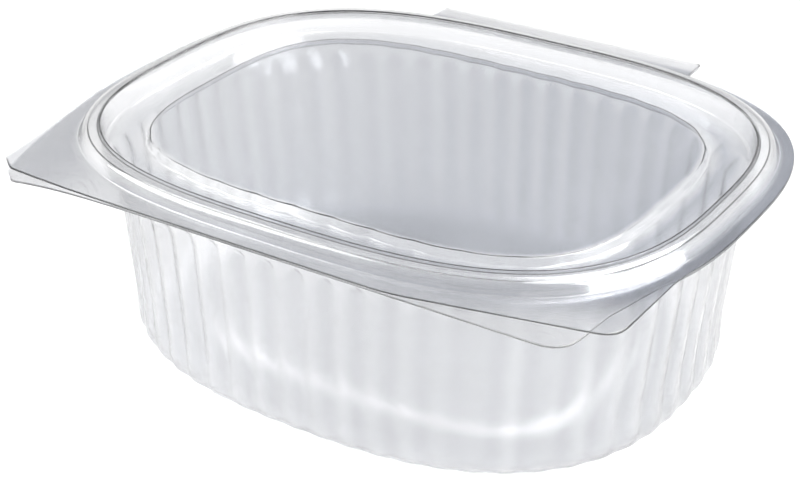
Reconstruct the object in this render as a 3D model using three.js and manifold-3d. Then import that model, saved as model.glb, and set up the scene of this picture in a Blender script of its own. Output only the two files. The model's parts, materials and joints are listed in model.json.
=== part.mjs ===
// Clear hinged-lid takeaway container: a fluted oval tub and the press-down lid that is
// folded over it along a hinge strip at the back. Millimetres, +Z up. X runs along the
// long side, -Y is the opening edge with its two corner tabs, +Y is the hinge edge, and
// the base rests on z = 0.

import * as THREE from 'three';
import { mergeVertices } from 'three/addons/utils/BufferGeometryUtils.js';
import Module from 'manifold-3d';

const wasm = await Module();
wasm.setup();

// Sheet and fit
const wall = 0.7;                    // sheet thickness
const seatGap = 0.45;                // clearance where the lid lies on the tub

// Overall
const rimHeight = 60;                // top face of the tub flange above the base
const flangeHalfLength = 95;         // outer oval of both flanges
const flangeHalfWidth = 76;
const flangeSquareness = 2.87;       // exponent of the oval: 2 is an ellipse, more is boxier
const frontReach = 76.3;             // straight front edge, measured from the oval's centre
const hingeReach = 82.8;             // hinge line, measured from the oval's centre
const hingeHalfLength = 44;          // the hinge strip ends here on both sides
const hingeRelief = 0.2;             // each strip stops this far before the hinge line
const centreY = (frontReach - hingeReach) / 2;   // centres the whole footprint on the origin

// Tub
const bandDepth = 8;                 // smooth band below the rim
const shoulderDepth = 3;             // the flutes' tops lie this far below the band
const bandInset = 10.3;              // inner face of the band's lower end, from the flange edge
const wallTopInset = 9.9;            // inner face of the fluted wall, at its ridges
const wallBottomInset = 10.7;
const endTaper = 2.3;                // the two ends lean in this much more than the long sides
const wallSquareness = 2.5;
const fluteCount = 56;
const fluteDepth = 1.4;
const baseRadius = 7;                // round between wall and base
const restRingWidth = 16;            // flat ring that the tub stands on
const basePanelRise = 1.5;           // the middle of the base is lifted by this
const basePanelSquareness = 3.4;

// Lid, heights above the top face of the tub flange
const lidTop = wall + seatGap;       // top face of the lid flange
const beadFootInset = 3.8;
const beadShoulder = { inset: 5.2, height: 3.2 };
const beadCrest = { inset: 7.0, height: 4.4 };
const beadInnerEdge = { inset: 9.6, height: 4.2 };
const beadSquareness = 2.95;
const ledge = { outerInset: 10.8, innerInset: 21.4, height: -2.0 };
const panel = { inset: 23.6, height: 0.3 };
const panelSquareness = 3.45;
const lidRibCount = 36;              // small ribs on the step between ledge and panel
const lidRibDepth = 1.0;

// Flange plates: the bead shells end inside them
const shellEndInset = 2.0;
const mouthInset = 3.0;

// The front corner tabs, as corners from the oval's centre with a rounding radius each
const leftTab = [
  { x: -94.2, y: -24, round: 0 },
  { x: -84.2, y: -72.2, round: 1 },
  { x: -79, y: -frontReach, round: 1 },
];
const tubRightTab = [
  { x: 83.6, y: -frontReach, round: 7 },
  { x: 85.2, y: -58, round: 0 },
  { x: 92.5, y: -27, round: 0 },
];
const lidRightTab = [
  { x: 38, y: -frontReach, round: 6 },
  { x: 91, y: -65.2, round: 5 },
  { x: 91.5, y: -38, round: 0 },
  { x: 94.4, y: -14, round: 0 },
];

// Fineness of the facets
const tubRingPoints = 2 * fluteCount;
const lidRingPoints = 2 * lidRibCount;
const outlinePoints = 76;
const cornerSegments = 6;
const arcSamples = 4000;             // steps used to measure the oval's length

const cutMargin = 1;                 // a cutting body passes the cut faces by this much

// Radius of the unit oval |cos|^n + |sin|^n = 1 in the direction of an angle.
function ovalRadius(angle, squareness) {
  const sum = Math.abs(Math.cos(angle)) ** squareness + Math.abs(Math.sin(angle)) ** squareness;
  return sum ** (-1 / squareness);
}

// Point of the oval that lies the given inset inside the flange edge.
function ovalPoint(angle, inset, squareness, taper = 0) {
  const radius = ovalRadius(angle, squareness);
  return {
    x: (flangeHalfLength - inset - taper) * radius * Math.cos(angle),
    y: (flangeHalfWidth - inset) * radius * Math.sin(angle),
  };
}

// Angles that divide the tub wall's oval into equal lengths.
function evenAngles(count) {
  const lengths = [0];
  let previous = ovalPoint(0, wallTopInset, wallSquareness);
  for (let i = 1; i <= arcSamples; i += 1) {
    const point = ovalPoint((2 * Math.PI * i) / arcSamples, wallTopInset, wallSquareness);
    lengths.push(lengths[i - 1] + Math.hypot(point.x - previous.x, point.y - previous.y));
    previous = point;
  }
  const angles = [];
  let i = 0;
  for (let k = 0; k < count; k += 1) {
    const target = (lengths[arcSamples] * k) / count;
    while (lengths[i + 1] < target) {
      i += 1;
    }
    const share = (target - lengths[i]) / (lengths[i + 1] - lengths[i]);
    angles.push((2 * Math.PI * (i + share)) / arcSamples);
  }
  return angles;
}

// Moves an open profile of { inset, height, ... } sections sideways by a distance, with
// mitred corners. A profile runs from the flange inwards, and a positive distance moves it
// to the sheet's underside.
function offsetProfile(sections, distance) {
  const normals = [];
  for (let i = 0; i + 1 < sections.length; i += 1) {
    const along = sections[i + 1].inset - sections[i].inset;
    const up = sections[i + 1].height - sections[i].height;
    const length = Math.hypot(along, up);
    normals.push({ inset: up / length, height: -along / length });
  }
  return sections.map((section, i) => {
    const before = normals[Math.max(i - 1, 0)];
    const after = normals[Math.min(i, normals.length - 1)];
    const cosine = before.inset * after.inset + before.height * after.height;
    const scale = distance / (1 + cosine);
    return {
      ...section,
      inset: section.inset + (before.inset + after.inset) * scale,
      height: section.height + (before.height + after.height) * scale,
    };
  });
}

// Ring of points at one section; every second point is moved inwards by the section's relief.
function ringPoints(section, angles) {
  return angles.map((angle, i) => {
    const relief = i % 2 === 1 && section.relief ? section.relief(angle) : 0;
    const inset = section.inset + relief;
    const { x, y } = ovalPoint(angle, inset, section.squareness, section.taper);
    return [x, y + centreY, rimHeight + section.height];
  });
}

// Closed sheet between an upper and a lower profile, both running from the flange to the middle.
function sheetGeometry(upper, lower, angles) {
  const count = angles.length;
  const positions = [];
  const indices = [];
  const addSkin = (profile) => {
    const start = positions.length / 3;
    profile.forEach((section) => positions.push(...ringPoints(section, angles).flat()));
    positions.push(0, centreY, rimHeight + profile[profile.length - 1].height);
    return start;
  };
  const addSkinFaces = (start, rings, flip) => {
    const addFace = (a, b, c) => indices.push(a, ...(flip ? [c, b] : [b, c]));
    for (let r = 0; r + 1 < rings; r += 1) {
      for (let i = 0; i < count; i += 1) {
        const j = (i + 1) % count;
        const outer = start + r * count;
        const inner = outer + count;
        addFace(outer + i, outer + j, inner + j);
        addFace(outer + i, inner + j, inner + i);
      }
    }
    const last = start + (rings - 1) * count;
    const middle = start + rings * count;
    for (let i = 0; i < count; i += 1) {
      addFace(last + i, last + ((i + 1) % count), middle);
    }
  };
  const top = addSkin(upper);
  const bottom = addSkin(lower);
  addSkinFaces(top, upper.length, false);
  addSkinFaces(bottom, lower.length, true);
  for (let i = 0; i < count; i += 1) {
    const j = (i + 1) % count;
    indices.push(bottom + i, bottom + j, top + j);
    indices.push(bottom + i, top + j, top + i);
  }
  const geometry = new THREE.BufferGeometry();
  geometry.setAttribute('position', new THREE.Float32BufferAttribute(positions, 3));
  geometry.setIndex(indices);
  return geometry;
}

function toSolid(geometry) {
  geometry.deleteAttribute('normal');
  geometry.deleteAttribute('uv');
  const merged = mergeVertices(geometry);
  return new wasm.Manifold(new wasm.Mesh({
    numProp: 3,
    vertProperties: Float32Array.from(merged.attributes.position.array),
    triVerts: Uint32Array.from(merged.index.array),
  }));
}

function toGeometry(solid) {
  const mesh = solid.getMesh();
  const geometry = new THREE.BufferGeometry();
  geometry.setAttribute('position', new THREE.Float32BufferAttribute(mesh.vertProperties, 3));
  geometry.setIndex(Array.from(mesh.triVerts));
  geometry.computeVertexNormals();
  return geometry;
}

// Outline through { x, y, round } corners, each rounded by cutting its tip back by `round`.
function roundedShape(corners) {
  const shape = new THREE.Shape();
  const towards = (from, to, distance) => {
    const length = Math.hypot(to.x - from.x, to.y - from.y);
    return {
      x: from.x + ((to.x - from.x) * distance) / length,
      y: from.y + ((to.y - from.y) * distance) / length,
    };
  };
  corners.forEach((corner, i) => {
    const previous = corners[(i + corners.length - 1) % corners.length];
    const next = corners[(i + 1) % corners.length];
    const start = towards(corner, previous, corner.round);
    const end = towards(corner, next, corner.round);
    if (i === 0) {
      shape.moveTo(start.x, start.y);
    } else {
      shape.lineTo(start.x, start.y);
    }
    if (corner.round > 0) {
      shape.quadraticCurveTo(corner.x, corner.y, end.x, end.y);
    }
  });
  return shape;
}

function ovalShape(inset) {
  const points = [];
  for (let i = 0; i < outlinePoints; i += 1) {
    const { x, y } = ovalPoint((2 * Math.PI * i) / outlinePoints, inset, flangeSquareness);
    points.push(new THREE.Vector2(x, y));
  }
  return new THREE.Shape(points);
}

// Plate of an outline, from a height above the base upwards.
function plateSolid(shape, bottom, thickness) {
  const geometry = new THREE.ExtrudeGeometry(shape, {
    depth: thickness,
    bevelEnabled: false,
    curveSegments: cornerSegments,
  });
  geometry.translate(0, centreY, bottom);
  return toSolid(geometry);
}

// Flat flange: the oval with its front tabs and hinge strip, open at the mouth.
function flangeSolid(rightTab, bottom) {
  const stripEnd = hingeReach - hingeRelief;
  const hingeStrip = [
    { x: -hingeHalfLength, y: 0, round: 0 },
    { x: hingeHalfLength, y: 0, round: 0 },
    { x: hingeHalfLength, y: stripEnd, round: 1 },
    { x: -hingeHalfLength, y: stripEnd, round: 1 },
  ];
  const plate = plateSolid(ovalShape(0), bottom, wall)
    .add(plateSolid(roundedShape([...leftTab, ...rightTab]), bottom, wall))
    .add(plateSolid(roundedShape(hingeStrip), bottom, wall));
  const mouth = plateSolid(ovalShape(mouthInset), bottom - cutMargin, wall + 2 * cutMargin);
  return plate.subtract(mouth);
}

// Upper face of the lid's snap bead, from the flange to the ledge.
function beadProfile() {
  const squareness = beadSquareness;
  return [
    { inset: shellEndInset, height: lidTop, squareness: flangeSquareness },
    { inset: beadFootInset, height: lidTop, squareness: flangeSquareness },
    { ...beadShoulder, squareness },
    { ...beadCrest, squareness },
    { ...beadInnerEdge, squareness },
    { inset: ledge.outerInset, height: ledge.height, squareness },
  ];
}

// Upper face of the lid: the bead, the ledge and the panel, whose step is ribbed where it
// faces the long sides.
function lidProfile() {
  const ribs = (angle) => lidRibDepth * Math.sin(angle) ** 2;
  return [
    ...beadProfile(),
    { inset: ledge.innerInset, height: ledge.height, squareness: panelSquareness, relief: ribs },
    { inset: panel.inset, height: panel.height, squareness: panelSquareness },
  ];
}

// Upper face of the tub: it nests under the lid's bead, then falls as a smooth band, a
// fluted wall and the rounded base, with a lifted panel in the middle.
function tubProfile() {
  const flutes = () => fluteDepth;
  const floor = wall - rimHeight;
  const wallBottom = { squareness: wallSquareness, taper: endTaper };
  const cornerShare = 1 - Math.SQRT1_2;
  const panelInset = wallBottomInset + baseRadius + restRingWidth;
  return [
    ...offsetProfile(beadProfile(), wall + seatGap),
    { inset: bandInset, height: -bandDepth, squareness: beadSquareness },
    {
      inset: wallTopInset,
      height: -bandDepth - shoulderDepth,
      squareness: wallSquareness,
      relief: flutes,
    },
    { ...wallBottom, inset: wallBottomInset, height: floor + baseRadius, relief: flutes },
    {
      ...wallBottom,
      inset: wallBottomInset + baseRadius * cornerShare,
      height: floor + baseRadius * cornerShare,
      relief: flutes,
    },
    { ...wallBottom, inset: wallBottomInset + baseRadius, height: floor },
    { inset: panelInset, height: floor, squareness: basePanelSquareness, taper: endTaper },
    {
      inset: panelInset + basePanelRise,
      height: floor + basePanelRise,
      squareness: basePanelSquareness,
      taper: endTaper,
    },
  ];
}

function sheetSolid(profile, ringCount) {
  const angles = evenAngles(ringCount);
  return toSolid(sheetGeometry(profile, offsetProfile(profile, wall), angles));
}

const clearPlastic = new THREE.MeshStandardMaterial({
  name: 'clear_plastic',
  color: 0xdfe3e8,
  roughness: 0.08,
  metalness: 0,
  transparent: true,
  opacity: 0.35,
});

const tub = sheetSolid(tubProfile(), tubRingPoints)
  .add(flangeSolid(tubRightTab, rimHeight - wall));
const lid = sheetSolid(lidProfile(), lidRingPoints)
  .add(flangeSolid(lidRightTab, rimHeight + seatGap));

const container = new THREE.Group();
for (const [name, solid] of [['tub', tub], ['lid', lid]]) {
  const mesh = new THREE.Mesh(toGeometry(solid), clearPlastic);
  mesh.name = name;
  container.add(mesh);
}

export default container;
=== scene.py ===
import json
import math

import bpy
import numpy as np
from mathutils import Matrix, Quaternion, Vector


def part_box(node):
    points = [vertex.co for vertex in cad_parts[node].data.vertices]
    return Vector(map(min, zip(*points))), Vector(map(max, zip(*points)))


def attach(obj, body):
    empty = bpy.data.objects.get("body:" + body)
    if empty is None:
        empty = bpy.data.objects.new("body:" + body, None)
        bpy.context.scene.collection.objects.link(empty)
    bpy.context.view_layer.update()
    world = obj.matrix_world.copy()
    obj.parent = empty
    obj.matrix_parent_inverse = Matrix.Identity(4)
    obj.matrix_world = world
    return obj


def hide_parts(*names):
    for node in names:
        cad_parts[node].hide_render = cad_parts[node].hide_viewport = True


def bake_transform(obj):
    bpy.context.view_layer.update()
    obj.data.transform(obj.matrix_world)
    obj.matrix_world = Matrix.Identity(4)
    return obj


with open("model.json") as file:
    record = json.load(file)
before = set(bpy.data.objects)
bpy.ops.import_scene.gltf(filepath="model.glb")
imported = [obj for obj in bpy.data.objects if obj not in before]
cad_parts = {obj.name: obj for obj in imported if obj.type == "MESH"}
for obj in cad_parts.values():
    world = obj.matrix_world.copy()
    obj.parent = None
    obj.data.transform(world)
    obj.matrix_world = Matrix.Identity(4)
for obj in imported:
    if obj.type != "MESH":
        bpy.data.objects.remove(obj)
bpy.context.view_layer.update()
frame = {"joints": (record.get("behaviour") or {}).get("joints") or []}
mm = 0.001                         # every size below is in millimetres, unless a comment says otherwise
print("frame loaded")

hingePoint = np.array(frame["joints"][0]["pos_m"]) / mm
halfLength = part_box("tub")[1].x / mm          # the long half axis of the flange oval

# The oval both halves share. Heights are counted from the top face of the tub's flange.
container = dict(
    halfWidth=76.0,
    flangeSquareness=2.87,         # 2 is an ellipse, more is boxier
    beadSquareness=2.95,
    wallSquareness=2.5,
    panelSquareness=3.45,
    basePanelSquareness=3.4,
    frontReach=76.27,              # straight front edge, from the oval's centre
    hingeReach=82.8,               # hinge line, from the oval's centre
    hingeHalfLength=44.0,
    foldSetback=0.65,              # both strips end this far before the hinge line
    flangeAboveHinge=-0.225,       # the tub flange's top face lies just below the hinge line
    tipReach=14.0,                 # the left tab's tips spread over this length
    flangeRows=(0, 0.04, 0.12, 0.25, 0.4, 0.6, 0.85),     # from the outline to the bead's foot
)
centreY = hingePoint[1] - container["hingeReach"]
rimHeight = hingePoint[2] + container["flangeAboveHinge"]

# How dense the sheet looks, as shares of its average, with painted light and shade laid into it, and where
# that changes, counted from the oval's centre
densityAndPaintedLight = dict(
    flange=1.3,
    strip=0.3,                     # the hinge strip is pressed thin and clear
    stripStart=74.5,
    stripFade=3.0,
    stripHalfLength=60.0,
    # painted highlight: the front edge's tint is lightened to this share
    frontEdgePaintedLight=0.42,
    frontStart=45.0,
    frontFade=20.0,
    frontLeftEnd=-75.0,
    frontLeftFade=25.0,
    frontInset=4.0,                # the front edge reaches this far inside the oval
    # painted light: the right-hand tab's tint is lightened to this share
    rightTab=0.6,
    tabFade=5.0,
    tabFadeAlong=20.0,
    endStart=60.0,                 # painted shade: where the darkening of the right end starts
    endFade=25.0,
    endFront=-60.0,                # it starts behind the front corner
    endFrontFade=30.0,
)


def ovalPoints(angles, inset, squareness, taper=0.0):
    # At each polar angle: the point where |x/a|^n + |y/b|^n = 1, with both half axes cut back by the inset
    # and the long one by the taper as well. Insets may be a table of rows by angles.
    cosines, sines = np.cos(angles), np.sin(angles)
    radius = (np.abs(cosines) ** squareness + np.abs(sines) ** squareness) ** (-1 / squareness)
    x = (halfLength - inset - taper) * radius * cosines
    y = (container["halfWidth"] - inset) * radius * sines
    return np.stack(np.broadcast_arrays(x, y), -1)


def evenAngles(count):
    # Polar angles that cut the wall's oval into equal lengths, counted from its right-hand end
    wallInset, fineSteps = 10.0, 8001
    fine = np.linspace(0, 2 * np.pi, fineSteps)
    line = ovalPoints(fine, wallInset, container["wallSquareness"])
    lengths = np.concatenate([[0], np.cumsum(np.hypot(*np.diff(line, axis=0).T))])
    return np.interp(np.arange(count) / count * lengths[-1], lengths, fine)


def roundedLine(stations, arcSteps=5):
    # A line through the stations. Each corner is cut back by its `round` and replaced by the quadratic curve
    # (1-t)^2 start + 2t(1-t) corner + t^2 end; straight stretches are divided into pieces of at most `step`.
    # The first two values of a station are its place; every value is carried along in the same way.
    values = np.array([station["at"] for station in stations], float)
    line = [values[0]]

    def straightTo(end, step):
        begin = line[-1]
        pieces = max(1, math.ceil(np.hypot(*(end - begin)[:2]) / step))
        line.extend(begin + (end - begin) * k / pieces for k in range(1, pieces + 1))

    for i in range(1, len(values)):
        corner, cut, step = values[i], stations[i].get("round", 0), stations[i].get("step", 100)
        if cut == 0:
            straightTo(corner, step)
            continue
        before, after = values[i - 1] - corner, values[i + 1] - corner
        start = corner + before * cut / np.hypot(*before[:2])
        end = corner + after * cut / np.hypot(*after[:2])
        straightTo(start, step)
        for t in np.linspace(0, 1, arcSteps + 1)[1:]:
            line.append((1 - t) ** 2 * start + 2 * t * (1 - t) * corner + t ** 2 * end)
    return np.array(line)


def ovalReach(angles):
    # Distance from the centre to the flange's oval in the direction of each angle:
    # (|cos / a|^n + |sin / b|^n)^(-1/n)
    n = container["flangeSquareness"]
    x, y = np.cos(angles) / halfLength, np.sin(angles) / container["halfWidth"]
    return (np.abs(x) ** n + np.abs(y) ** n) ** (-1 / n)


def outlinePoints(angles, paths):
    # The flange's outline seen from the centre: in each direction the farther of the oval and of the open
    # paths of corners laid over it (the front tabs and the hinge strip)
    radius = ovalReach(angles)
    for corners in paths:
        line = roundedLine([dict(at=(x, y), round=cut, step=0.3) for x, y, cut in corners])
        turn = np.unwrap(np.arctan2(line[:, 1], line[:, 0]))
        reach = np.hypot(line[:, 0], line[:, 1])
        for lap in (-2 * np.pi, 0.0, 2 * np.pi):
            radius = np.maximum(radius, np.interp(angles, turn + lap, reach, left=0, right=0))
    return np.stack([radius * np.cos(angles), radius * np.sin(angles)], -1)


def smooth(x):
    # 3x^2 - 2x^3 between 0 and 1
    x = np.clip(x, 0, 1)
    return x * x * (3 - 2 * x)


def ringQuads(rings, columns):
    # Quads between each ring of vertices and the next, every ring closed on itself
    ring, column = np.meshgrid(np.arange(rings - 1), np.arange(columns), indexing="ij")
    following = (column + 1) % columns
    return np.stack([
        ring * columns + column,
        (ring + 1) * columns + column,
        (ring + 1) * columns + following,
        ring * columns + following,
    ], -1).reshape(-1, 4)


def closedSheet(name, face, flatRings, outline, thickness, weight):
    # A sheet of even thickness. `face` is the upper skin, in rings from the flange to the middle. The lower
    # skin lies one thickness below it along its normals, straight down under the flat rings. The outline is
    # closed by a half round edge, and each skin by a fan to its middle. `weight` is the sheet's density at
    # every point of the face, with painted light and shade laid into it. It and the place of the cut edge are
    # kept as attributes for the material.
    rings, columns = face.shape[:2]
    along = np.gradient(face, axis=0)
    around = np.roll(face, -1, axis=1) - np.roll(face, 1, axis=1)
    normal = np.cross(around, along)
    normal /= np.linalg.norm(normal, axis=2, keepdims=True)
    normal[:flatRings] = (0, 0, 1)
    under = face - thickness * normal
    tangent = np.roll(outline, -1, axis=0) - np.roll(outline, 1, axis=0)
    outward = np.stack([tangent[:, 1], -tangent[:, 0], 0 * tangent[:, 0]], -1)
    outward /= np.linalg.norm(outward, axis=1, keepdims=True)
    middle = (face[0] + under[0]) / 2
    turns = np.radians([45, 0, -45])[:, None, None]
    edge = middle + thickness / 2 * (outward * np.cos(turns) + normal[0] * np.sin(turns))
    skin = np.concatenate([face[::-1], edge, under])
    rows = len(skin)
    poles = np.array([[0, centreY, face[-1, 0, 2]], [0, centreY, under[-1, 0, 2]]])
    vertices = np.concatenate([skin.reshape(-1, 3), poles]) * mm
    quads = ringQuads(rows, columns)
    first = np.arange(columns)
    second = (first + 1) % columns
    last = (rows - 1) * columns
    topFan = np.stack([first, second, np.full(columns, rows * columns)], -1)
    bottomFan = np.stack([last + second, last + first, np.full(columns, rows * columns + 1)], -1)
    piece = meshPiece(name, vertices, quads.tolist() + topFan.tolist() + bottomFan.tolist())
    skinWeight = np.concatenate([weight[::-1], np.repeat(weight[:1], len(edge), axis=0), weight])
    keepValues(piece, "weight", np.append(skinWeight, [weight[-1].mean()] * 2))
    cut = np.zeros((rows, columns))
    cut[rings:rings + len(edge)] = 1
    keepValues(piece, "cut", np.append(cut, [0, 0]))
    return piece


def meshPiece(name, vertices, faces):
    mesh = bpy.data.meshes.new(name)
    mesh.from_pydata(vertices.tolist(), [], faces)
    mesh.polygons.foreach_set("use_smooth", np.ones(len(mesh.polygons), bool))
    mesh.update()
    piece = bpy.data.objects.new(name, mesh)
    bpy.context.scene.collection.objects.link(piece)
    return piece


def keepValues(piece, name, values):
    attribute = piece.data.attributes.new(name, "FLOAT", "POINT")
    attribute.data.foreach_set("value", values.astype(np.float32))


def pastOval(points):
    # How far each point lies outside the flange's oval, seen from the centre
    return np.hypot(points[..., 0], points[..., 1]) - ovalReach(np.arctan2(points[..., 1], points[..., 0]))


def liftedTab(points, half):
    # The left tab's tip bends away from its neighbour as the square of the distance past the oval
    share = np.clip(pastOval(points) / container["tipReach"], 0, None) ** 2
    return np.where((points[..., 0] < 0) & (points[..., 1] < 0), half["tipLift"] * share, 0.0)


def spreadDensityAndPaintedLight(points, weight, half):
    # Clear on the hinge strip, lighter along the front edge and on the right-hand tab as painted light, a
    # little darker to the right everywhere as painted shade, and more so at the right end behind the front
    # corner
    x, y, past = points[..., 0], points[..., 1], pastOval(points)
    withinStrip = np.abs(x) < densityAndPaintedLight["stripHalfLength"]
    onStrip = smooth((y - densityAndPaintedLight["stripStart"]) / densityAndPaintedLight["stripFade"]) * withinStrip
    # painted highlight: the front edge is tinted lighter
    alongFront = smooth((x - densityAndPaintedLight["frontLeftEnd"]) / densityAndPaintedLight["frontLeftFade"])
    atEdge = past > -densityAndPaintedLight["frontInset"]
    onFront = smooth((-y - densityAndPaintedLight["frontStart"]) / densityAndPaintedLight["frontFade"]) * alongFront * atEdge
    weight = weight * (1 - (1 - densityAndPaintedLight["frontEdgePaintedLight"]) * onFront)
    # painted light: the right-hand tab is tinted lighter
    onTab = smooth(past / densityAndPaintedLight["tabFade"]) * smooth(x / densityAndPaintedLight["tabFadeAlong"]) * (y < 0)
    weight = weight * (1 - (1 - densityAndPaintedLight["rightTab"]) * onTab)
    # painted shade: darker to the right, and more at the right end behind the front corner
    behindCorner = smooth((y - densityAndPaintedLight["endFront"]) / densityAndPaintedLight["endFrontFade"])
    rightEnd = smooth((x - densityAndPaintedLight["endStart"]) / densityAndPaintedLight["endFade"]) * behindCorner
    weight = weight * (1 + half["rightSideShade"] * x / halfLength + half["rightEndShade"] * rightEnd)
    return weight * (1 - onStrip) + densityAndPaintedLight["strip"] * onStrip


def formedSheet(name, half, angles, profile, relief, shade, outlinePaths):
    # The whole half: flange rows between the outline and the bead's foot, then the profile carried round the
    # oval, with the relief added to its inset and the weight multiplied by the shade, which holds painted
    # shade and highlight
    thickness = half["thickness"]
    inset, height, squareness, taper = (profile[:, k, None] for k in range(4))
    body = ovalPoints(angles[None, :], inset + relief, squareness, taper)
    outline = outlinePoints(np.arctan2(body[0, :, 1], body[0, :, 0]), outlinePaths)
    tangent = np.roll(outline, -1, axis=0) - np.roll(outline, 1, axis=0)
    outward = np.stack([tangent[:, 1], -tangent[:, 0]], -1)
    edge = outline - thickness / 2 * outward / np.linalg.norm(outward, axis=1, keepdims=True)
    shares = np.array(container["flangeRows"])[:, None, None]
    flange = edge + (body[0] - edge) * shares
    flat = np.concatenate([flange, body])
    heights = np.concatenate([np.full((len(shares), 1), height[0, 0]), height]) + 0 * flat[..., 0]
    heights[:len(shares)] += liftedTab(flange, half)
    face = np.dstack([flat[..., 0], flat[..., 1] + centreY, heights + rimHeight])
    flangeWeight = np.full((len(shares), len(angles)), densityAndPaintedLight["flange"])
    weight = spreadDensityAndPaintedLight(flat, np.concatenate([flangeWeight, profile[:, 5, None] * shade]), half)
    return closedSheet(name, face, len(shares), outline, thickness, weight)


# The tabs and the hinge strip, as (x, y, rounding) of each corner, counted from the oval's centre
stripRoot = 60
stripEnd = container["hingeReach"] - container["foldSetback"]
hingeStrip = [
    (container["hingeHalfLength"], stripRoot, 0),
    (container["hingeHalfLength"], stripEnd, 1),
    (-container["hingeHalfLength"], stripEnd, 1),
    (-container["hingeHalfLength"], stripRoot, 0),
]
leftTab = [(-94.2, -24, 0), (-84.2, -72.2, 1), (-79, -container["frontReach"], 1)]

# The tub
tub = dict(
    thickness=0.45,
    tipLift=-1.8,                  # how far the left tab's tip rises; here it drops
    rightSideShade=0.15,             # painted shade: darker towards the right, and again at the right end
    rightEndShade=0.0,
    flutes=56,
    fluteDepth=1.0,
    fluteFlatness=0.5,             # 0 is a sine wave, more gives flatter ridges and grooves
    archTop=-7.6,                  # a groove's arched top starts here in its middle
    archDrop=3.6,                  # and this much lower at its sides
    archRise=2.4,                  # height over which a groove reaches its depth
    floorHeight=0.45,              # upper face of the base, above the ground
    baseRadius=7.0,
    endTaper=2.3,                  # the ends lean in more than the long sides
    basePanelInset=33.7,
    basePanelRise=1.5,
    seed=5,
    fluteShade=(0.05, 0.45),       # painted shade and highlight: how much darker a groove, and lighter a ridge, may be tinted than the wall's average
    shoulderHighlight=(0.95, 0.5),  # painted highlight: how much lighter the smooth band above the flutes is tinted, back and front
)
tubRightTab = [(83.6, -container["frontReach"], 7), (85.2, -58, 0), (92.5, -27, 0)]


def tubProfile():
    # (inset, height, squareness, taper, flute strength, weight) from the flange to the middle of the base.
    # The low weights on the bead and on the base panel's step lighten them as painted highlight.
    bead, wall, panel = (container[k] for k in ("beadSquareness", "wallSquareness", "basePanelSquareness"))
    floor = tub["floorHeight"] - rimHeight
    taper, corner, rise = tub["endTaper"], tub["baseRadius"], tub["basePanelRise"]
    panelInset = tub["basePanelInset"]
    return roundedLine([
        dict(at=(3.6, 0, container["flangeSquareness"], 0, 0, 0.9)),
        dict(at=(4.35, 0, bead, 0, 0, 0.7), round=0.4),
        # painted light: the low weights lighten the bead
        dict(at=(5.95, 2.75, bead, 0, 0, 0.15), round=0.7),
        dict(at=(7.0, 3.3, bead, 0, 0, 0.15), round=0.5),
        dict(at=(8.95, 3.5, bead, 0, 0, 0.2), round=0.45),
        dict(at=(10.05, -2.3, bead, 0, 0, 0.5), round=1.0, step=2),
        dict(at=(10.2, -7.0, bead, 0, 1, 0.6), step=1.5),
        dict(at=(9.95, -13.0, wall, 0, 1, 0.6), step=0.5),
        dict(at=(10.55, floor + 16, wall, taper, 1, 0.6), step=4.5),
        dict(at=(10.6, floor, wall, taper, 0.45, 0.72), round=corner, step=1.6),
        dict(at=(24, floor, wall, taper, 0, 1.25), step=1.1),
        dict(at=(panelInset - 1.2, floor, panel, taper, 0, 1.25), step=3),
        # painted highlight: the base panel's step is tinted lighter
        dict(at=(panelInset, floor, panel, taper, 0, 0.4), round=0.6),
        dict(at=(panelInset + rise, floor + rise, panel, taper, 0, 0.4), round=0.6),
        dict(at=(panelInset + rise + 1, floor + rise, panel, taper, 0, 1.25), step=1),
        dict(at=(52, floor + rise, panel, taper, 0, 1.25), step=6),
        dict(at=(70, floor + rise, 2.6, taper, 0, 1.25), step=9),
    ], arcSteps=5)


def fluteRelief(profile, columns):
    # Depth of the grooves: half of 1 - tanh(k cos) / tanh(k) round the oval. They start along an arch at the
    # top and fade with the flute strength on the base. The shade paints streaks: grooves darker as painted
    # shade and ridges lighter as painted highlight, by an uneven amount, and the band above the arches
    # lighter as painted highlight.
    count = tub["flutes"]
    phase = count * np.arange(columns) / columns
    flat = tub["fluteFlatness"]
    groove = 0.5 - 0.5 * np.tanh(flat * np.cos(2 * np.pi * phase)) / np.tanh(flat)
    archTop = tub["archTop"] - tub["archDrop"] * (1 - groove) ** 2
    opened = smooth((archTop - profile[:, 1, None]) / tub["archRise"])
    strength = smooth(profile[:, 4, None])
    uneven = np.random.default_rng(tub["seed"]).uniform(*tub["fluteShade"], count)
    uneven = np.interp(phase, np.arange(count + 1), np.append(uneven, uneven[0]))
    # painted shade in the grooves, painted highlight on the ridges
    fluted = 1 + uneven * (2 * groove - 1)
    side = np.sin(2 * np.pi * phase / count)
    # painted highlight on the smooth band above the arches
    highlightBack, highlightFront = tub["shoulderHighlight"]
    shoulderLight = highlightBack * np.clip(side, 0, 1) ** 2 + highlightFront * np.clip(-side, 0, 1) ** 2
    shade = 1 + strength * (opened * fluted - (1 - opened) * shoulderLight - opened)
    return tub["fluteDepth"] * groove * opened * strength, shade


tubColumns = tub["flutes"] * 8
tubLine = tubProfile()
tubShell = formedSheet(
    "tubShell", tub, evenAngles(tubColumns), tubLine, *fluteRelief(tubLine, tubColumns),
    [leftTab + tubRightTab, hingeStrip],
)
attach(tubShell, "tub")
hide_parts("tub")
print("tub made,", len(tubShell.data.polygons), "faces")

# The lid
lid = dict(
    thickness=0.42,
    tipLift=0.7,
    # painted shade: darker towards the right, and more at the right end
    rightSideShade=0.5,
    rightEndShade=0.6,
    seat=0.12,                     # air between the two flanges
    ledge=-2.0,                    # height of the sunken ledge
    panel=0.3,                     # height of the middle panel
    ribs=36,                       # scallops round the step between them
    ribDepth=0.7,
)
lidRightTab = [(38, -container["frontReach"], 6), (91, -65.2, 5), (91.5, -38, 0), (94.4, -14, 0)]


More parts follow.
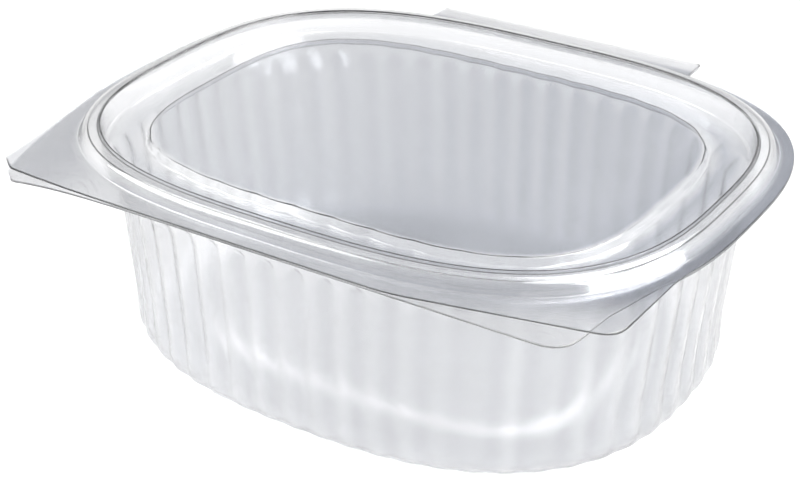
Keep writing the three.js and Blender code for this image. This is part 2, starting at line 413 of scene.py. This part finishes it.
def lidProfile():
    # (inset, height, squareness, taper, rib strength, weight) from the flange to the middle of the panel. The
    # low weights on the bead lighten it as painted light.
    bead, panel = container["beadSquareness"], container["panelSquareness"]
    top = lid["seat"] + lid["thickness"]
    return roundedLine([
        dict(at=(3.0, top, container["flangeSquareness"], 0, 0, 0.9)),
        dict(at=(3.8, top, bead, 0, 0, 0.8), round=0.4),
        # painted light: the low weights lighten the bead
        dict(at=(5.3, 3.1, bead, 0, 0, 0.15), round=0.8),
        dict(at=(6.6, 3.95, bead, 0, 0, 0.15), round=0.6),
        dict(at=(9.5, 4.3, bead, 0, 0, 0.3), round=0.45),
        dict(at=(10.7, lid["ledge"], bead, 0, 0, 0.4), round=0.9, step=2),
        dict(at=(18.5, lid["ledge"], panel, 0, 0, 1.2), step=2.6),
        dict(at=(22.3, lid["ledge"], panel, 0, 1, 0.3), round=0.45, step=0.8),
        dict(at=(23.2, lid["panel"], panel, 0, 0.6, 0.3), round=0.4, step=0.5),
        dict(at=(25.0, lid["panel"], panel, 0, 0, 1.5), step=0.5),
        dict(at=(45, lid["panel"], panel, 0, 0, 1.5), step=5),
        dict(at=(70, lid["panel"], 2.6, 0, 0, 1.5), step=9),
    ], arcSteps=6)


def ribRelief(profile, angles):
    # Scallops |cos| round the step below the panel, strongest where it faces the long sides
    phase = lid["ribs"] * np.arange(len(angles)) / len(angles)
    scallop = 1 - np.abs(np.cos(np.pi * phase))
    return lid["ribDepth"] * scallop * np.sin(angles) ** 2 * smooth(profile[:, 4, None])


lidAngles = evenAngles(lid["ribs"] * 16)
lidLine = lidProfile()
lidShell = formedSheet(
    "lidShell", lid, lidAngles, lidLine, ribRelief(lidLine, lidAngles), np.ones((1, len(lidAngles))),
    [leftTab + lidRightTab, hingeStrip],
)
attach(lidShell, "lid")
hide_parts("lid")
print("lid made,", len(lidShell.data.polygons), "faces")

# The fold between the two hinge strips
fold = dict(
    thickness=0.26,
    columns=60,
    turns=14,
    gap=0.01,                      # air between it and the strips' ends
    endInset=0.5,                  # it is this much shorter than the strips at both ends
)


def hingeFold():
    # The living hinge: a half ring between the two strips' ends, carried straight along the hinge line
    low = -tub["thickness"] / 2
    high = lid["seat"] + lid["thickness"] / 2
    radius = (high - low) / 2
    middle = (high + low) / 2
    turn = np.linspace(-np.pi / 2, np.pi / 2, fold["turns"])
    outer = radius + fold["thickness"] / 2
    inner = radius - fold["thickness"] / 2
    section = np.concatenate([
        np.stack([outer * np.cos(turn), outer * np.sin(turn)], -1),
        np.stack([inner * np.cos(turn[::-1]), inner * np.sin(turn[::-1])], -1),
    ])
    start = stripEnd + fold["gap"]
    along = np.linspace(-1, 1, fold["columns"]) * (container["hingeHalfLength"] - fold["endInset"])
    points = np.zeros((len(along), len(section), 3))
    points[..., 0] = along[:, None]
    points[..., 1] = centreY + start + section[:, 0]
    points[..., 2] = rimHeight + middle + section[:, 1]
    count = len(section)
    quads = ringQuads(len(along), count)[:, [0, 3, 2, 1]]          # turned round to face outward
    half = fold["turns"]
    k = np.arange(half - 1)
    cap = np.stack([k, 2 * half - 1 - k, 2 * half - 2 - k, k + 1], -1)
    endCap = (len(along) - 1) * count + cap[:, ::-1]
    faces = quads.tolist() + cap.tolist() + endCap.tolist()
    piece = meshPiece("hingeFold", points.reshape(-1, 3) * mm, faces)
    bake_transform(piece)
    return piece


hingeWeb = hingeFold()
print("hinge fold made")

# The sheet's unevenness. Scales are counted per metre, so more is finer.
grain = dict(
    waveDetail=2,
    waveRoughness=0.4,
    creaseScale=70,
    creaseDetail=3,
    creaseBend=1.2,
    creaseLevel=0.5,               # a crease runs where its noise passes this value
    creaseWidth=0.012,
    hazeScale=35,
    hazeDetail=5,
    hazeStart=0.4,
    hazeEnd=0.75,
)


def sheetGroup():
    # Unevenness of drawn sheet: broad waves and thin creases for the normal, a patchy haze for the roughness,
    # a tint that follows the weight, which holds the density and painted light and shade, and a fainter,
    # rougher cut edge
    group = bpy.data.node_groups.new("drawnSheet", "ShaderNodeTree")
    for label, kind, value in (
        ("Wave Size", "NodeSocketFloat", 60.0),
        ("Wave Height", "NodeSocketFloat", 0.02),
        ("Crease Height", "NodeSocketFloat", 0.0),
        ("Clear Roughness", "NodeSocketFloat", 0.03),
        ("Haze Roughness", "NodeSocketFloat", 0.1),
        ("Edge Roughness", "NodeSocketFloat", 0.4),
        ("Edge Fade", "NodeSocketFloat", 0.5),
        ("Sheet Colour", "NodeSocketColor", (0.8, 0.82, 0.85, 1)),
    ):
        socket = group.interface.new_socket(label, in_out="INPUT", socket_type=kind)
        socket.default_value = value
    for label, kind in (
        ("Color", "NodeSocketColor"),
        ("Roughness", "NodeSocketFloat"),
        ("Alpha", "NodeSocketFloat"),
        ("Normal", "NodeSocketVector"),
    ):
        group.interface.new_socket(label, in_out="OUTPUT", socket_type=kind)
    nodes, links = group.nodes, group.links
    inputs = nodes.new("NodeGroupInput").outputs
    outputs = nodes.new("NodeGroupOutput").inputs
    place = nodes.new("ShaderNodeTexCoord").outputs["Object"]

    waves = nodes.new("ShaderNodeTexNoise")
    links.new(place, waves.inputs["Vector"])
    links.new(inputs["Wave Size"], waves.inputs["Scale"])
    waves.inputs["Detail"].default_value = grain["waveDetail"]
    waves.inputs["Roughness"].default_value = grain["waveRoughness"]
    bump = nodes.new("ShaderNodeBump")
    bump.inputs["Distance"].default_value = mm
    links.new(inputs["Wave Height"], bump.inputs["Strength"])
    links.new(waves.outputs["Fac"], bump.inputs["Height"])

    # creases: thin lines where a second noise passes its middle value
    paths = nodes.new("ShaderNodeTexNoise")
    links.new(place, paths.inputs["Vector"])
    paths.inputs["Scale"].default_value = grain["creaseScale"]
    paths.inputs["Detail"].default_value = grain["creaseDetail"]
    paths.inputs["Distortion"].default_value = grain["creaseBend"]
    onPath = nodes.new("ShaderNodeMath")
    onPath.operation = "COMPARE"
    onPath.inputs[1].default_value = grain["creaseLevel"]
    onPath.inputs[2].default_value = grain["creaseWidth"]
    links.new(paths.outputs["Fac"], onPath.inputs[0])
    crease = nodes.new("ShaderNodeBump")
    crease.inputs["Distance"].default_value = mm
    links.new(inputs["Crease Height"], crease.inputs["Strength"])
    links.new(onPath.outputs["Value"], crease.inputs["Height"])
    links.new(bump.outputs["Normal"], crease.inputs["Normal"])
    links.new(crease.outputs["Normal"], outputs["Normal"])

    patches = nodes.new("ShaderNodeTexNoise")
    links.new(place, patches.inputs["Vector"])
    patches.inputs["Scale"].default_value = grain["hazeScale"]
    patches.inputs["Detail"].default_value = grain["hazeDetail"]
    haze = nodes.new("ShaderNodeMapRange")
    haze.inputs["From Min"].default_value = grain["hazeStart"]
    haze.inputs["From Max"].default_value = grain["hazeEnd"]
    links.new(patches.outputs["Fac"], haze.inputs["Value"])
    links.new(inputs["Clear Roughness"], haze.inputs["To Min"])
    links.new(inputs["Haze Roughness"], haze.inputs["To Max"])

    # the cut edge is rougher, and its alpha is 1 less the edge fade
    cut = nodes.new("ShaderNodeAttribute")
    cut.attribute_name = "cut"
    roughness = nodes.new("ShaderNodeMix")
    links.new(cut.outputs["Fac"], roughness.inputs["Factor"])
    links.new(haze.outputs["Result"], roughness.inputs["A"])
    links.new(inputs["Edge Roughness"], roughness.inputs["B"])
    links.new(roughness.outputs["Result"], outputs["Roughness"])
    alpha = nodes.new("ShaderNodeMath")
    alpha.operation = "MULTIPLY_ADD"
    fade = nodes.new("ShaderNodeMath")
    fade.operation = "MULTIPLY"
    fade.inputs[1].default_value = -1
    links.new(inputs["Edge Fade"], fade.inputs[0])
    links.new(cut.outputs["Fac"], alpha.inputs[0])
    links.new(fade.outputs["Value"], alpha.inputs[1])
    alpha.inputs[2].default_value = 1
    links.new(alpha.outputs["Value"], outputs["Alpha"])

    # a sheet of weight w passes the colour to the power w; the weight holds density and painted light and
    # shade
    weight = nodes.new("ShaderNodeAttribute")
    weight.attribute_name = "weight"
    tint = nodes.new("ShaderNodeGamma")
    links.new(inputs["Sheet Colour"], tint.inputs["Color"])
    links.new(weight.outputs["Fac"], tint.inputs["Gamma"])
    links.new(tint.outputs["Color"], outputs["Color"])
    return group


def clearSheet(name, group, settings):
    # Clear polyester sheet: glass that lets lamp light through, with the group's tint, haze and waves.
    # Shadow rays pass it as a plain transparent sheet of the shadow colour.
    material = bpy.data.materials.new(name)
    material.use_nodes = True
    nodes, links = material.node_tree.nodes, material.node_tree.links
    shader = nodes["Principled BSDF"]
    output = nodes["Material Output"]
    surface = nodes.new("ShaderNodeGroup")
    surface.node_tree = group
    for label, value in settings["surface"].items():
        surface.inputs[label].default_value = value
    for label, socket in (
        ("Color", "Base Color"),
        ("Roughness", "Roughness"),
        ("Alpha", "Alpha"),
        ("Normal", "Normal"),
    ):
        links.new(surface.outputs[label], shader.inputs[socket])
    shader.inputs["Metallic"].default_value = 0
    shader.inputs["IOR"].default_value = settings["ior"]
    shader.inputs["Transmission Weight"].default_value = 1
    through = nodes.new("ShaderNodeBsdfTransparent")
    through.inputs["Color"].default_value = (*settings["shadowColor"], 1)
    path = nodes.new("ShaderNodeLightPath")
    mix = nodes.new("ShaderNodeMixShader")
    links.new(path.outputs["Is Shadow Ray"], mix.inputs["Fac"])
    links.new(shader.outputs["BSDF"], mix.inputs[1])
    links.new(through.outputs["BSDF"], mix.inputs[2])
    links.new(mix.outputs["Shader"], output.inputs["Surface"])
    return material


drawnSheet = sheetGroup()
tubSheet = dict(
    ior=1.57,
    shadowColor=(0.94, 0.945, 0.95),
    surface={
        "Wave Size": 45.0,
        "Wave Height": 0.25,
        "Crease Height": 0.25,
        "Clear Roughness": 0.14,
        "Haze Roughness": 0.24,
        "Edge Roughness": 0.5,
        "Edge Fade": 0.68,
        "Sheet Colour": (0.75, 0.752, 0.764, 1),
    },
)
lidSheet = dict(
    ior=1.57,
    shadowColor=(0.94, 0.945, 0.95),
    surface={
        "Wave Size": 30.0,
        "Wave Height": 0.2,
        "Clear Roughness": 0.06,
        "Haze Roughness": 0.14,
        "Edge Roughness": 0.5,
        "Edge Fade": 0.68,
        "Sheet Colour": (0.75, 0.762, 0.788, 1),
    },
)
tubMaterial = clearSheet("tubSheet", drawnSheet, tubSheet)
lidMaterial = clearSheet("lidSheet", drawnSheet, lidSheet)
tubShell.data.materials.append(tubMaterial)
lidShell.data.materials.append(lidMaterial)
hingeWeb.data.materials.append(lidMaterial)
print("materials made")

# Floor, sky, lamps and camera
stage = dict(
    floorSize=8.0,                 # metres
    floorGap=0.00005,              # keeps the base's underside off the floor
    floorColor=(0.3, 0.3, 0.3),
    floorRoughness=0.9,
    floorShine=0.1,
    floorGlow=0.58,                # so that it stays white to its edges
    skyLow=(0.95, 0.95, 0.95),     # near the horizon
    skyMiddle=(0.42, 0.42, 0.43),
    skyHigh=(0.5, 0.5, 0.52),      # overhead
    # where the low band starts and ends, the middle one starts and ends, and the high one starts. Each is the
    # sine of the elevation moved to 0..1, so 0.5 is the horizon
    skyBands=(0.5, 0.58, 0.66, 0.9, 1.0),
    lampAim=(0, 0, 0.03),
    lightBounces=32,
)
# Each lamp's place and size in metres and its power in watts
lamps = {
    "overhead": dict(place=(0.45, 0.0, 1.2), size=(0.6, 0.55), power=6),
    "backBox": dict(place=(0.11, 0.60, 1.0), size=(0.68, 0.58), power=8.5),
    "rightBox": dict(place=(0.95, 0.15, 0.68), size=(1.1, 0.8), power=20),
    "leftBox": dict(place=(-0.85, -0.42, 0.90), size=(0.8, 0.8), power=7.5),
}


def makeFloor():
    half = stage["floorSize"] / 2
    corners = np.array([(-half, -half), (half, -half), (half, half), (-half, half)])
    corners = np.column_stack([corners, np.full(4, -stage["floorGap"])])
    floor = meshPiece("floor", corners, [[0, 1, 2, 3]])
    material = bpy.data.materials.new("paleFloor")
    material.use_nodes = True
    shader = material.node_tree.nodes["Principled BSDF"]
    shader.inputs["Base Color"].default_value = (*stage["floorColor"], 1)
    shader.inputs["Roughness"].default_value = stage["floorRoughness"]
    shader.inputs["Specular IOR Level"].default_value = stage["floorShine"]
    shader.inputs["Emission Color"].default_value = (1, 1, 1, 1)
    shader.inputs["Emission Strength"].default_value = stage["floorGlow"]
    floor.data.materials.append(material)


def makeLamps():
    for name, lamp in lamps.items():
        light = bpy.data.lights.new(name, "AREA")
        light.shape = "RECTANGLE"
        light.size, light.size_y = lamp["size"]
        light.energy = lamp["power"]
        holder = bpy.data.objects.new(name, light)
        place = Vector(lamp["place"])
        holder.location = place
        holder.rotation_mode = "QUATERNION"
        holder.rotation_quaternion = (Vector(stage["lampAim"]) - place).to_track_quat("-Z", "Y")
        bpy.context.scene.collection.objects.link(holder)


def makeSky():
    # The sky's colour changes with the height of the direction seen
    world = bpy.data.worlds.new("studio")
    world.use_nodes = True
    background = world.node_tree.nodes["Background"]
    nodes, links = world.node_tree.nodes, world.node_tree.links
    place = nodes.new("ShaderNodeTexCoord")
    split = nodes.new("ShaderNodeSeparateXYZ")
    shade = nodes.new("ShaderNodeValToRGB")
    rise = nodes.new("ShaderNodeMapRange")
    rise.inputs["From Min"].default_value = -1
    links.new(place.outputs["Generated"], split.inputs["Vector"])
    links.new(split.outputs["Z"], rise.inputs["Value"])
    links.new(rise.outputs["Result"], shade.inputs["Fac"])
    links.new(shade.outputs["Color"], background.inputs["Color"])
    colors = [stage["skyLow"], stage["skyLow"], stage["skyMiddle"], stage["skyMiddle"], stage["skyHigh"]]
    stops = shade.color_ramp.elements
    while len(stops) < len(colors):
        stops.new(0.5)
    for stop, position, color in zip(stops, stage["skyBands"], colors):
        stop.position = position
        stop.color = (*color, 1)
    bpy.context.scene.world = world


shot = dict(
    azimuth=33.318, elevation=28.97, roll=-0.591,      # degrees
    distance=474.44, target=(-4.36, -8.92, 27.9),      # millimetres
    lens=76.85, sensor=36,                             # millimetres
    nearest=0.01, farthest=50,                         # metres
)


def makeCamera():
    azimuth, elevation = math.radians(shot["azimuth"]), math.radians(shot["elevation"])
    back = Vector((
        math.sin(azimuth) * math.cos(elevation),
        -math.cos(azimuth) * math.cos(elevation),
        math.sin(elevation),
    ))
    camera = bpy.data.cameras.new("camera")
    camera.lens = shot["lens"]
    camera.sensor_width = shot["sensor"]
    camera.clip_start, camera.clip_end = shot["nearest"], shot["farthest"]
    holder = bpy.data.objects.new("camera", camera)
    holder.location = Vector(shot["target"]) * mm + back * shot["distance"] * mm
    holder.rotation_mode = "QUATERNION"
    turn = Quaternion((0, 0, 1), math.radians(shot["roll"]))
    holder.rotation_quaternion = (-back).to_track_quat("-Z", "Y") @ turn
    bpy.context.scene.collection.objects.link(holder)
    bpy.context.scene.camera = holder


makeFloor()
makeLamps()
makeSky()
makeCamera()
scene = bpy.context.scene
scene.view_settings.view_transform = "Standard"
scene.cycles.max_bounces = stage["lightBounces"]
scene.cycles.transmission_bounces = stage["lightBounces"]
scene.cycles.transparent_max_bounces = stage["lightBounces"]
print("stage made")
